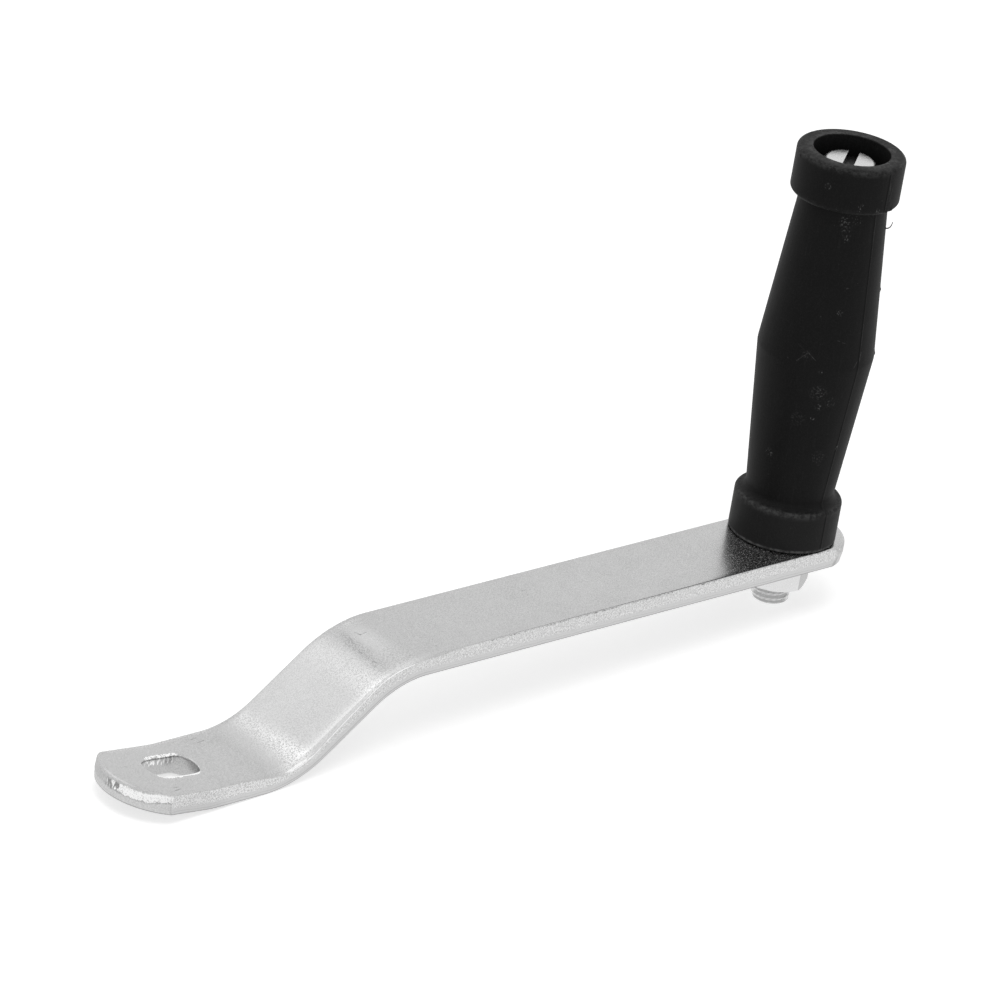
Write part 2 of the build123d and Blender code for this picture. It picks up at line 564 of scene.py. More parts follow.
    def sheared(self, steel: Recipe, noises: Noises) -> None:
        """Adds the sheared ends' bright rubbed band, its dark jagged marks and the dull torn band.

        Args:
            steel: The material being laid out.
            noises: Its noises.
        """
        cut, polish = steel.mark("cut"), steel.mark("polish")
        level = steel.waver(steel.mark("depth"), noises.tooth, 2.6)
        dull = steel.mix(self.torn - 0.12, self.torn + 0.08, steel.step(noises.fine, 0.3, 0.7))
        steel.coat(dull, steel.step(level, 3.5, 3.9), cut)
        edge = steel.times(steel.step(level, 3.4, 3.6), steel.step(level, 4.1, 3.8))
        steel.coat(self.dark, edge, cut, steel.step(polish, 0.1, 0.4), 0.55)
        band = steel.times(steel.step(level, 0.9, 1.3), steel.step(level, 3.8, 3.5), cut,
                           steel.step(noises.fine, 0.40, 0.48, 0.4))
        reach = steel.waver(polish, noises.streak, 2.2)
        steel.coat(self.bright, band, steel.step(reach, 0.30, 0.45))
        fading = steel.times(steel.step(polish, 0.0, 0.05), steel.step(polish, 0.70, 0.50))
        steel.coat(self.dark, steel.step(noises.streak, 0.53, 0.47), fading, band, 0.85)


@dataclass(frozen=True)
class Scuff:
    """A patch of small pale specks on the grip."""

    angle: float
    height: float
    radius: float
    strength: float = 0.6


@dataclass(frozen=True)
class Scratch:
    """A straight pale scratch on the grip, from one angle and height to another."""

    start: tuple[float, float]
    end: tuple[float, float]
    strength: float = 0.35
    width: float = 0.3 * MM


@dataclass(frozen=True)
class GripPlastic:
    """Near-black moulded plastic with fine texture, scuffs, scratches, pale specks, painted
    highlights on the rims and painted shade beside the parting line.

    Angles are degrees round the grip's axis from +X, heights are over its lower end.
    """

    black: float = 0.0045
    # Grey for scuffs and wear, and for the painted highlights on the rims.
    scuff_and_highlight: float = 0.09
    roughness: float = 0.46
    gloss: float = 0.10
    paler_height: float = 14 * MM
    scuffs: tuple[Scuff, ...] = (
        Scuff(-127, 54 * MM, 3.4 * MM, 0.5), Scuff(-112, 51 * MM, 2.2 * MM, 0.45),
        Scuff(-124, 49.3 * MM, 1.5 * MM, 0.8), Scuff(-128, 45.3 * MM, 0.9 * MM, 1.4),
        Scuff(-143, 44.3 * MM, 3 * MM, 0.25), Scuff(-171, 30.5 * MM, 1.8 * MM, 0.8),
        Scuff(-112, 32 * MM, 2.6 * MM, 0.5), Scuff(-87, 34.6 * MM, 1 * MM, 1.2),
        Scuff(-129, 61.1 * MM, 0.8 * MM, 1.0), Scuff(-145, 65.6 * MM, 2.2 * MM, 0.3),
        Scuff(-120, 80 * MM, 1.5 * MM, 0.5), Scuff(-118, 114.6 * MM, 1.1 * MM, 1.4),
        Scuff(-120, 112.8 * MM, 1 * MM), Scuff(-98, 113.2 * MM, 1 * MM, 1.0),
        Scuff(-129, 108.3 * MM, 2.6 * MM, 1.0), Scuff(-114, 109 * MM, 1.8 * MM, 0.8),
        Scuff(-127, 105 * MM, 2.2 * MM), Scuff(-156, 119.2 * MM, 1.4 * MM, 1.0),
        Scuff(-125, 102.6 * MM, 1 * MM, 1.0), Scuff(60, 52 * MM, 3 * MM),
        Scuff(20, 110 * MM, 2 * MM, 0.7), Scuff(130, 40 * MM, 2.4 * MM),
    )
    scratches: tuple[Scratch, ...] = (
        Scratch((-144.5, 66.4 * MM), (-154, 63.3 * MM), 0.6),
        Scratch((-146, 67 * MM), (-136, 64.6 * MM), 0.6),
        Scratch((-144.5, 66.3 * MM), (-156, 68.4 * MM), 0.2),
        Scratch((-87.6, 76 * MM), (-86.9, 69 * MM), 0.5),
        Scratch((-85.8, 67 * MM), (-87.5, 64 * MM), 0.7),
        Scratch((-90.5, 64.2 * MM), (-94, 62.3 * MM), 0.7),
        Scratch((-117.3, 71.4 * MM), (-114.4, 71.2 * MM), 0.5),
        Scratch((-111.6, 70.8 * MM), (-108.3, 70.5 * MM), 0.5),
        Scratch((-88, 105 * MM), (-88, 102 * MM), 0.6),
        Scratch((-121, 80.6 * MM), (-118, 79.4 * MM), 0.6),
        Scratch((-86, 121.5 * MM), (-85, 118 * MM), 0.8),
        Scratch((-81, 120 * MM), (-83, 115.5 * MM), 0.5),
        Scratch((40, 70 * MM), (46, 64 * MM)),
        Scratch((80, 30 * MM), (90, 36 * MM)),
        Scratch((150, 95 * MM), (146, 88 * MM)),
    )

    def material(self, surface: Surface) -> bpy.types.Material:
        """Makes the grip's material.

        Args:
            surface: Gives the place on the grip at an angle in degrees and a height.

        Returns:
            The material.
        """
        plastic = Recipe("grip_plastic")
        fine = plastic.clouds(0.4 * MM, 4.0, 0.6)
        blots = plastic.clouds(12 * MM, 4.0, 0.6)
        drawn = plastic.clouds(1.2 * MM, 4.0, 0.7, (1, 1, 0.08))
        height = plastic.node("SeparateXYZ", Vector=plastic.place).outputs[2]
        # Below this height, the lower collar is coloured a little paler.
        paler_top = surface(0, self.paler_height).z
        plastic.colour = plastic.mix(self.black * 0.7, self.black * 1.3, blots)
        for share in (plastic.step(height, paler_top, paler_top - 2 * MM, 0.0, 0.08),
                      plastic.step(fine, 0.46, 0.66, 0.0, 0.05),
                      plastic.step(drawn, 0.55, 0.70, 0.0, 0.04)):
            plastic.coat(self.scuff_and_highlight, share)
        # Painted shade in the crease beside the parting line.
        plastic.coat(self.black * 0.1, plastic.mark("seam"))
        plastic.coat(self.scuff_and_highlight, self.wear(plastic, surface))
        roughness = plastic.math("ADD", self.roughness, plastic.times(drawn, 0.16))
        plastic.relief((blots, 0.06 * MM), (fine, 0.03 * MM), (drawn, 0.02 * MM))
        return plastic.finished(Roughness=roughness, Specular_IOR_Level=self.gloss)

    def wear(self, plastic: Recipe, surface: Surface) -> Socket:
        """Lays out the specks, the rims' wear with painted highlights, scuffs and scratches.

        Args:
            plastic: The material being laid out.
            surface: Gives the place on the grip at an angle in degrees and a height.

        Returns:
            How worn it is, with the rims' painted highlights, from 0 to 1.
        """
        grains = plastic.step(plastic.clouds(0.55 * MM, 3.0, 0.6), 0.53, 0.62)
        broken = plastic.math("ADD", grains, 0.45, clamp=True)
        specks = plastic.step(plastic.clouds(1.3 * MM, 3.0, 0.6), 0.715, 0.76)
        patches = plastic.step(plastic.clouds(9 * MM), 0.36, 0.60, 0.35)
        chafed = plastic.step(plastic.clouds(1.3 * MM, 4.0, 0.7), 0.38, 0.62, 0.1, 0.7)
        # The "rub" mark holds the rims' wear and their painted highlights.
        marks = [plastic.times(plastic.mark("rub"), patches, chafed)]
        for scuff in self.scuffs:
            patch = plastic.spot(surface(scuff.angle, scuff.height), scuff.radius)
            marks.append(plastic.times(patch, grains, scuff.strength))
        for scratch in self.scratches:
            streak = plastic.line(surface(*scratch.start), surface(*scratch.end), scratch.width)
            marks.append(plastic.times(streak, broken, scratch.strength))
        wear = plastic.times(specks, 0.35)
        for mark in marks:
            wear = plastic.math("MAXIMUM", wear, mark)
        return wear


@dataclass(frozen=True)
class FastenerSteel:
    """Bright zinc plate on a turned or pressed fastener."""

    name: str
    grey: float
    roughness: float
    turned: bool = False
    painted_glint: float = 0.9
    root: float = 0.62
    sunk: float = 0.10
    turning_pitch: float = 3.2 * MM

    def material(self, axis: Vector) -> bpy.types.Material:
        """Makes the material, with painted glints, and painted shade where the piece is marked
        "root" or "sunk".

        Args:
            axis: A place on the fastener's axis, round which turning marks run.

        Returns:
            The material.
        """
        steel = Recipe(self.name)
        fine = steel.clouds(0.4 * MM, 4.0, 0.6)
        blots = steel.clouds(4 * MM, 4.0, 0.6)
        steel.colour = steel.mix(self.grey - 0.05, self.grey + 0.05, blots)
        # Painted glints: pale specks that stand in for sparkling highlights.
        steel.coat(self.painted_glint, steel.step(fine, 0.6, 0.72))
        # Painted shade in the thread's roots.
        steel.coat(self.root, steel.mark("root"), steel.step(fine, 0.66, 0.5))
        # Painted shade in the slot and on two sides of the nut.
        steel.coat(self.sunk, steel.mark("sunk"))
        roughness = steel.math("ADD", self.roughness, steel.times(blots, 0.12))
        layers = [(blots, 0.02 * MM), (fine, 0.005 * MM)]
        if self.turned:
            centred = steel.node("Mapping", Vector=steel.place, Location=(-axis.x, -axis.y, 0))
            rings = steel.node("TexWave", {"wave_type": "RINGS", "rings_direction": "Z"},
                               Vector=centred.outputs[0], Scale=1 / self.turning_pitch,
                               Distortion=0.6, Detail=2.0)
            layers.append((rings.outputs["Fac"], 0.004 * MM))
        steel.relief(*layers)
        return steel.finished(Metallic=1.0, Roughness=roughness)


# ---------------------------------------------------------------- crank arm


@dataclass(frozen=True)
class Run:
    """One straight or evenly bent stretch of the bar's middle line."""

    start: float
    x: float
    z: float
    heading: float
    curvature: float

    def along(self, distance: float) -> tuple[float, float, float]:
        """Follows the run.

        Args:
            distance: How far from its start.

        Returns:
            x, z and heading there.
        """
        heading = self.heading + self.curvature * distance
        if not self.curvature:
            return self.x + distance * cos(heading), self.z + distance * sin(heading), heading
        x = self.x + (sin(heading) - sin(self.heading)) / self.curvature
        z = self.z + (cos(self.heading) - cos(heading)) / self.curvature
        return x, z, heading


class Edge(Enum):
    """What made a stretch of the arm's outline."""

    ROLLED = "long edge of the bar stock"
    SHEARED = "cut end"


@dataclass
class CrankArm:
    """The cranked bar, drawn flat as a blank and then bent along its middle line.

    In the blank, s runs along the middle line from the drive hole, y across the bar, and depth
    down from the upper face. The methods that place marks work in millimetres.
    """

    thickness: float = 6.3 * MM
    hub_radius: float = 18.5 * MM
    grip_radius: float = 17.3 * MM
    hub_nose: float = 21.8 * MM
    grip_nose: float = 20.5 * MM
    long_roll: float = 0.7 * MM
    end_roll: float = 1.5 * MM
    lower_bevel: float = 0.25 * MM
    fracture_height: float = 2.6 * MM
    fracture_depth: float = 0.4 * MM
    tear_depth: float = 0.12 * MM
    tear_width: float = 0.8 * MM
    nose_rise: float = radians(6)
    nose_bend_start: float = 1.5 * MM
    nose_bend_radius: float = 46 * MM
    hub_flat: float = 16.3 * MM
    hub_bend_radius: float = 34 * MM
    arm_bend_radius: float = 36 * MM
    ramp_angle: float = radians(36)
    hole_radius: float = 8.5 * MM
    hole_flat: float = 5.75 * MM
    hole_sharpness: float = 14
    hole_worn: float = radians(140)
    hole_worn_span: float = radians(55)
    hole_worn_sharpness: float = 5
    hole_drawn_in: float = 1.6
    hole_break: float = 0.6 * MM
    hole_lead: float = 0.4 * MM
    hole_points: int = 300
    bolt_hole_radius: float = 6 * MM
    bolt_hole_lead: float = 0.15 * MM
    bolt_hole_points: int = 96
    straight_brink: float = 0.3 * MM
    pitch: float = 1.2 * MM
    end_pitch: float = 0.3 * MM
    roll_rows: int = 10
    burnish_rows: int = 10
    fracture_rows: int = 12
    bevel_rows: int = 2
    hole_lead_rows: int = 4
    hole_wall_rows: int = 8
    face_clearance: float = 0.6
    sharp: float = 40

    def __post_init__(self) -> None:
        """Takes the bar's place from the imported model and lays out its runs."""
        low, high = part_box("crank_arm")
        self.near, self.far = low.y, high.y
        axis_x = standing(*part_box("grip"))[0].x
        nose_drop = self.nose_bend_start * sin(self.nose_rise)
        nose_drop += self.nose_bend_radius * (1 - cos(self.nose_rise))
        climb = high.z - self.thickness / 2 + nose_drop
        bends_climb = (self.hub_bend_radius + self.arm_bend_radius) * (1 - cos(self.ramp_angle))
        self.runs = [Run(-self.hub_nose, -self.hub_nose * cos(self.nose_rise),
                         self.hub_nose * sin(self.nose_rise), -self.nose_rise, 0.0)]
        self.lay(self.hub_nose + self.nose_bend_start, 0.0)
        self.lay(self.nose_bend_radius * self.nose_rise, 1 / self.nose_bend_radius)
        self.lay(self.hub_flat, 0.0)
        self.hub_bend = self.lay(self.hub_bend_radius * self.ramp_angle, 1 / self.hub_bend_radius)
        self.lay((climb - bends_climb) / sin(self.ramp_angle), 0.0)
        self.arm_bend = self.lay(self.arm_bend_radius * self.ramp_angle, -1 / self.arm_bend_radius)
        self.axis_s = self.runs[-1].start + axis_x - self.runs[-1].x
        self.hub_centre = self.hub_radius - self.hub_nose
        self.grip_centre = self.axis_s + self.grip_nose - self.grip_radius

    def lay(self, length: float, curvature: float) -> float:
        """Bends the last run, and starts another where it ends.

        Args:
            length: Its length along the middle line.
            curvature: One over its bend radius, positive where it turns up.

        Returns:
            Where on the middle line it starts.
        """
        run = self.runs[-1] = replace(self.runs[-1], curvature=curvature)
        self.runs.append(Run(run.start + length, *run.along(length), 0.0))
        return run.start

    def run_at(self, s: float) -> Run:
        """Returns the run that holds that place on the middle line."""
        return next((run for run in reversed(self.runs) if run.start <= s), self.runs[0])

    def bend(self, s: float, y: float, depth: float) -> Vector:
        """Bends the blank.

        Args:
            s: Place along the blank.
            y: Place across it.
            depth: How far below its upper face.

        Returns:
            Where that point lies on the bent bar.
        """
        run = self.run_at(s)
        x, z, heading = run.along(s - run.start)
        above = self.thickness / 2 - depth
        return Vector((x - sin(heading) * above, y, z + cos(heading) * above))

    def punched(self, s: float, depth: float) -> float:
        """Sets the drive hole's wall square to the turned-up nose.

        Args:
            s: Place along the blank.
            depth: How far below its upper face.

        Returns:
            s, moved so.
        """
        run = self.run_at(s)
        turn = run.along(s - run.start)[2] + self.nose_rise
        return s + (self.thickness / 2 - depth) * sin(turn)

    def end_arc(self, centre: float, radius: float, first: float, last: float
                ) -> list[tuple[float, float]]:
        """Returns s and y of points along a sheared end, between two angles round its centre."""
        steps = round(2 * self.hub_radius / self.end_pitch)
        return [(centre + radius * cos(a), radius * sin(a)) for a in spread(first, last, steps)]

    def outline(self, long_inset: float, end_inset: float) -> list[tuple[float, float, Edge]]:
        """The blank's outline, moved inwards.

        Args:
            long_inset: How far the long edges move in.
            end_inset: How far the sheared ends move in.

        Returns:
            s, y and kind of edge of each point, once round from the near edge's hub corner.
        """
        near, far = self.near + long_inset, self.far - long_inset
        hub, grip = self.hub_radius - end_inset, self.grip_radius - end_inset
        hub_end = self.end_arc(self.hub_centre, hub, pi - asin(far / hub), pi - asin(near / hub))
        grip_end = self.end_arc(self.grip_centre, grip, asin(near / grip), asin(far / grip))
        sides = round((self.grip_centre - self.hub_centre) / self.pitch)
        points = []
        for side, before, after in ((near, hub_end, grip_end), (far, grip_end, hub_end)):
            straight = spread(before[-1][0], after[0][0], sides)
            points += [(s, side, Edge.ROLLED) for s in straight[:-1]]
            points += [(s, y, Edge.SHEARED) for s, y in after[:-1]]
        return points

    def drive_hole(self, grown: float) -> list[tuple[float, float]]:
        """The double-D hole, with corners softened most at the worn one.

        Its upper rim is drawn in most along the far flat.

        Args:
            grown: How far it is grown outwards.

        Returns:
            s and y of its points, once round.
        """
        points = []
        for angle in spread(0, tau, self.hole_points)[:-1]:
            drawn = grown
            if grown <= self.hole_lead:
                drawn *= 1 + self.hole_drawn_in * rise(sin(angle), 0.2, 0.6)
            arc = self.hole_radius + grown
            flat = (self.hole_flat + drawn) / max(0.01, abs(sin(angle)))
            worn = hill(angle, self.hole_worn, self.hole_worn_span)
            power = self.hole_sharpness - (self.hole_sharpness - self.hole_worn_sharpness) * worn
            radius = (arc ** -power + flat ** -power) ** (-1 / power)
            points.append((radius * cos(angle), radius * sin(angle)))
        return points

    def bolt_hole(self, grown: float) -> list[tuple[float, float]]:
        """Returns s and y round the bolt's clearance hole, grown outwards by that much."""
        radius = self.bolt_hole_radius + grown
        return [(self.axis_s + radius * cos(a), radius * sin(a))
                for a in spread(0, tau, self.bolt_hole_points)[:-1]]

    def inset(self, depth: float, roll: float) -> float:
        """Returns how far a rolled edge stands in from its face at that depth."""
        below = roll - depth
        return roll - sqrt(roll * roll - below * below) if below > 0 else 0.0

    def past_bends(self, s: float) -> tuple[float, float]:
        """Returns how many millimetres s is past the start of the hub bend and of the arm bend."""
        return (s - self.hub_bend) / MM, (s - self.arm_bend) / MM

    def worked(self, s: float, y: float) -> dict[str, float]:
        """How the bending tools marked the upper side, with a painted sheen.

        Args:
            s: Place along the bar.
            y: Place across it.

        Returns:
            "grain", pale grains in the bends and along the near edge between them, "pale", a
            painted sheen, mostly a smooth lighter patch behind the arm bend, and "die_line", the
            dark line that the tool's nose left across that bend.
        """
        hub, arm = self.past_bends(s)
        near = rise(y, self.far, self.near)
        edge = 0.5 * hill(y, self.near, 4 * MM) * rise(hub, 0, 10) * rise(arm, 18, 8)
        grain = 0.8 * hill(hub, 13, 8) * near ** 2.5 + 0.34 * hill(hub, 13.5, 6)
        grain += 0.12 * hill(arm, 3, 8) + 0.36 * hill(arm, 3, 7) * near ** 3
        grain += 0.2 * hill(arm, 14, 7) * near + 0.4 * edge
        grain += 0.5 * hill(arm, 15, 6) * hill(y, self.far, 5 * MM)
        # Painted sheen: lighter behind the arm bend, in the bends and along the near edge between
        # them.
        pale = 0.55 * hill(arm, 14.5, 5) * hill(y, 0.1 * self.far, 1.1 * self.far)
        pale = max(pale, 0.6 * edge, 0.1 * hill(arm, 2, 9), 0.35 * hill(hub, 9, 8))
        line = hill(arm, 9.7 + 0.13 * y / MM, 2.1) * rise(y, self.near + 2 * MM, self.near + 7 * MM)
        line *= rise(y, self.far - 3 * MM, self.far - 7 * MM)
        return {"grain": min(0.85, 1.15 * grain), "pale": pale, "die_line": 0.5 * line}

    def brink(self, s: float) -> float:
        """How deep the upper face's look reaches down the near side, deepest at the bends.

        Args:
            s: Place along the bar.

        Returns:
            Its depth in millimetres.
        """
        hub, arm = self.past_bends(s)
        deep = 2.1 * hill(hub, 13, 24) + 0.9 * hill(arm, -7, 20) + 0.7 * hill(arm, 20, 16)
        return self.straight_brink / MM + deep

    def side_marks(self, s: float, y: float, depth: float) -> dict[str, float]:
        """The marks on a long edge.

        Args:
            s: Place along the bar.
            y: Place across it, which tells the near edge from the far one.
            depth: How far below the upper face.

        Returns:
            "wall" and "depth" for its side's speckles, "glint", painted highlights, on the bent
            stretch of its upper corner, in a patch above it at the hub bend and on the far upper
            edge at the arm bend, "nick" on the straight stretch of its upper corner, "grain",
            "die_line" and "pale", a painted sheen, above that corner, more "grain" along the hub,
            and "rim", a painted shade line, along its lower corner and along the far upper corner.
        """
        hub, arm = self.past_bends(s)
        deep = depth / MM
        bent = rise(hub, 2, 12) * rise(arm, 26, 14)
        brink, above = self.straight_brink / MM, 0.0
        if y < 0:
            brink = self.brink(s)
            above = rise(deep, brink, 0.8 * brink)
        corner = hill(deep, brink, 0.45)
        if y < 0:
            # Painted highlight: a bright patch above the near upper corner at the hub bend. Painted
            # shade: a dark line near the lower corner on the bent stretch.
            painted_shine = 0.95 * above * rise(deep, 0.1, 0.7 * brink) * hill(hub, 12, 9)
            line = 0.4 * bent * hill(deep, 5.2, 0.4)
        else:
            # Painted highlight along the far upper edge at the arm bend, and a painted shade line
            # along that edge.
            painted_shine = 0.5 * hill(deep, 0, 0.3) * hill(arm, 13, 10)
            line = 0.35 * corner
        worked = self.worked(s, y)
        hub_grain = 0.36 * rise(hub, 10, 0) * rise(deep, 4.4, 3.4) * (1 - above)
        # Above the near corner, "pale" is a painted sheen, lightest on the bent stretch.
        return {"wall": rise(deep, brink - 0.2, brink + 0.2), "depth": deep,
                "painted_glint": max(corner * (0.1 + 0.66 * bent), painted_shine),
                "nick": 0.5 * corner * rise(arm, 14, 24),
                "pale": above * max(0.6 * bent, worked["pale"]),
                "grain": max(hub_grain, above * worked["grain"]),
                "die_line": above * worked["die_line"], "rim": max(self.rim(depth), line)}

    def rim(self, depth: float) -> float:
        """Returns the painted shade line along the lower corners."""
        return rise(depth, self.thickness - 2 * self.lower_bevel, self.thickness - self.lower_bevel)

    def end_marks(self, s: float, y: float, depth: float) -> dict[str, float]:
        """The marks on a sheared end; the die rubbed the hub's end near the near edge.

        Args:
            s: Place along the bar, which tells the hub's end from the grip's.
            y: Place across it.
            depth: How far below the upper face.

        Returns:
            "cut" and "depth" for its bands, "polish", and "rim", a painted shade line, along its
            corners.
        """
        inward, deep = (y - self.near) / MM, depth / MM
        polish = rise(y, 2 * MM, -9 * MM) * rise(inward, -4, 3) if s < self.hub_flat else 0.0
        shallow = 1.4 * rise(inward, 5, 0)
        # Painted shade: a dark line down the end's near corner, towards the lower face.
        corner = 0.8 * hill(inward, 0, 0.45) * rise(deep, 2.4, 5)
        return {"cut": rise(deep, 0.2, 0.8), "depth": deep + shallow, "polish": polish,
                "rim": max(corner, self.rim(depth))}

    def burr(self, s: float, y: float, depth: float) -> float:
        """The bright burr round the drive hole: a thin rim, deep teeth where the punch dragged, and
        a painted highlight along the near rim.

        Args:
            s: Place along the bar.
            y: Place across it.
            depth: How far below the upper face.

        Returns:
            How much burr and painted highlight stand there, from 0 to 1.
        """
        dragged = rise(y, 0.0, self.hole_flat) * rise(s, -self.hole_radius, -0.5 * self.hole_radius)
        dragged *= rise(s, 1.1 * self.hole_radius, 0.75 * self.hole_radius)
        rim = hill(depth, 0.5 * self.hole_lead, self.hole_lead)
        # Painted highlight: a bright line along the near rim.
        painted_rim_highlight = 0.75 * rise(depth, 0.3 * self.hole_lead, 0.0)
        painted_rim_highlight *= rise(y, 0.1 * self.hole_flat, -0.8 * self.hole_flat)
        painted_rim_highlight *= rise(s, self.hole_radius, 0.6 * self.hole_radius)
        return max(0.44 * rim, painted_rim_highlight,
                   dragged * (0.50 + 0.08 * rim) * rise(depth, 4.2 * MM, 2.2 * MM))

    def outer_rings(self, draft: Draft) -> list[list[int]]:
        """Adds the outline's wall to the draft.

        Args:
            draft: What the wall is added to.

        Returns:
            Its rings of vertices, from the upper face to the lower one.
        """
        fracture = self.thickness - self.fracture_height
        bevelled = self.thickness - self.lower_bevel
        depths = [self.end_roll * (1 - cos(a)) for a in spread(0, pi / 2, self.roll_rows)]
        for first, last, rows in ((self.end_roll, fracture, self.burnish_rows),
                                  (fracture, bevelled, self.fracture_rows),
                                  (bevelled, self.thickness, self.bevel_rows)):
            depths += spread(first, last, rows)[1:]
        rings = []
        for depth in depths:
            bevel = max(0.0, depth - bevelled)
            slope = max(0.0, depth - fracture) / self.fracture_height
            long_inset = self.inset(depth, self.long_roll) + bevel
            end_inset = self.inset(depth, self.end_roll) + slope * self.fracture_depth + bevel
            ring = []
            for s, y, edge in self.outline(long_inset, end_inset):
                place = self.bend(s, y, depth)
                if edge is Edge.SHEARED:
                    tear = slope * (1 - slope) * 4 if bevel == 0 else 0.0
                    tear *= self.tear_depth * (0.5 + ragged(place, self.tear_width))
                    centre = 0 if s < self.hub_flat else self.axis_s
                    place -= Vector((s - centre, y, 0)).normalized() * tear
                    marks = self.end_marks(s, y, depth)
                else:
                    marks = self.side_marks(s, y, depth)
                ring.append(draft.point(place, **marks))
            rings.append(ring)
        return rings

    def hole_rings(self, draft: Draft, shape: Outline, lead: float, broken: float
                   ) -> list[list[int]]:
        """Adds the wall of a hole to the draft.

        Args:
            draft: What the wall is added to.
            shape: Gives the hole's outline, grown outwards by a length.
            lead: Width of the rounding round the upper rim.
            broken: Width of the bevel where the punch broke through the lower face.

        Returns:
            Its rings of vertices, from the upper face to the lower one.
        """
        rows = [(lead * (1 - cos(a)), lead * (1 - sin(a)))
                for a in spread(0, pi / 2, self.hole_lead_rows)]
        rows += [(depth, 0.0)
                 for depth in spread(lead, self.thickness - broken, self.hole_wall_rows)[1:]]
        rings = []
        for depth, grown in [*rows, (self.thickness, broken)]:
            ring = []
            for s, y in shape(grown):
                place = self.bend(self.punched(s, depth), y, depth)
                burr = self.burr(s, y, depth) if shape == self.drive_hole else 0.0
                ring.append(draft.point(place, burr=burr))
            rings.append(ring)
        return rings

    def solid(self, s: float, y: float, inset: float, clear: float) -> bool:
        """Tells whether a face's inner point stands clear of its outline and holes.

        Args:
            s: Place along the blank.
            y: Place across it.
            inset: How far the outline stands in there.
            clear: How far the point has to stand off.

        Returns:
            Whether it does.
        """
        margin, rim = inset + clear, clear + self.hole_lead
        inside = self.near + margin < y < self.far - margin
        inside &= s > self.hub_centre or hypot(s - self.hub_centre, y) < self.hub_radius - margin
        inside &= s < self.grip_centre or hypot(s - self.grip_centre, y) < self.grip_radius - margin
        hole = hypot(s, y) < self.hole_radius + rim and abs(y) < self.hole_flat + rim
        return inside and not hole and hypot(s - self.axis_s, y) >= self.bolt_hole_radius + clear

    def face(self, draft: Draft, depth: float, outer: list[int], holes: list[list[int]],
             inset: float, blank: dict[int, tuple[float, float]]) -> None:
        """Fills the upper or lower face of the blank with triangles.

        Args:
            draft: What the face is added to.
            depth: 0 for the upper face, the thickness for the lower one.
            outer: Ring of vertices round the face.
            holes: Rings of vertices round its holes.
            inset: How far the outline stands in there.
            blank: s and y of each ring vertex in the blank.
        """
        indices, edges = [], []
        for loop in (outer, *holes):
            first, count = len(indices), len(loop)
            edges += [(first + i, first + (i + 1) % count) for i in range(count)]
            indices += loop
        spots = [Vector(blank[index]) for index in indices]
        steps = round(self.axis_s / self.pitch), round((self.far - self.near) / self.pitch)
        for s in spread(-self.hub_nose, self.axis_s + self.grip_nose, steps[0]):
            for y in spread(self.near, self.far, steps[1]):
                if self.solid(s, y, inset, self.face_clearance * self.pitch):
                    marks = self.worked(s, y) if depth == 0 else {}
                    indices.append(draft.point(self.bend(s, y, depth), **marks))
                    spots.append(Vector((s, y)))
        hole_of = {index: number for number, loop in enumerate(holes) for index in loop}
        for triangle in delaunay_2d_cdt(spots, edges, [], 1, 1e-9)[2]:
            corners = tuple(indices[i] for i in triangle)
            owners = {hole_of.get(corner, -1) for corner in corners}
            if owners == {-1} or len(owners) > 1:
                draft.faces.append(corners)

    def build(self, finish: ArmSteel) -> Piece:
        """Makes the arm.

        Args:
            finish: Its material.

        Returns:
            The piece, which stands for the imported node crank_arm.
        """
        draft = Draft()
        outer = self.outer_rings(draft)
        drive = self.hole_rings(draft, self.drive_hole, self.hole_lead, self.hole_break)
        bolt = self.hole_rings(draft, self.bolt_hole, self.bolt_hole_lead, self.lower_bevel)
        for rings in (outer, drive, bolt):
            draft.skin(rings)
        for depth, row, drive_grown, bolt_grown, insets in (
                (0.0, 0, self.hole_lead, self.bolt_hole_lead, (self.long_roll, self.end_roll)),
                (self.thickness, -1, self.hole_break, self.lower_bevel,
                 (self.lower_bevel, self.fracture_depth + self.lower_bevel))):
            rim = [(self.punched(s, depth), y) for s, y in self.drive_hole(drive_grown)]
            blank = dict(zip(outer[row], ((s, y) for s, y, _ in self.outline(*insets))))
            blank |= dict(zip(drive[row], rim)) | dict(zip(bolt[row], self.bolt_hole(bolt_grown)))
            self.face(draft, depth, outer[row], [drive[row], bolt[row]], insets[1], blank)
        arm = draft.piece("CrankArm", self.sharp)
        arm.data.materials.append(finish.material(lambda s, y: self.bend(s, y, 0.0)))
        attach(arm, "arm")
        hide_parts("crank_arm")
        return arm


# ---------------------------------------------------------------- grip


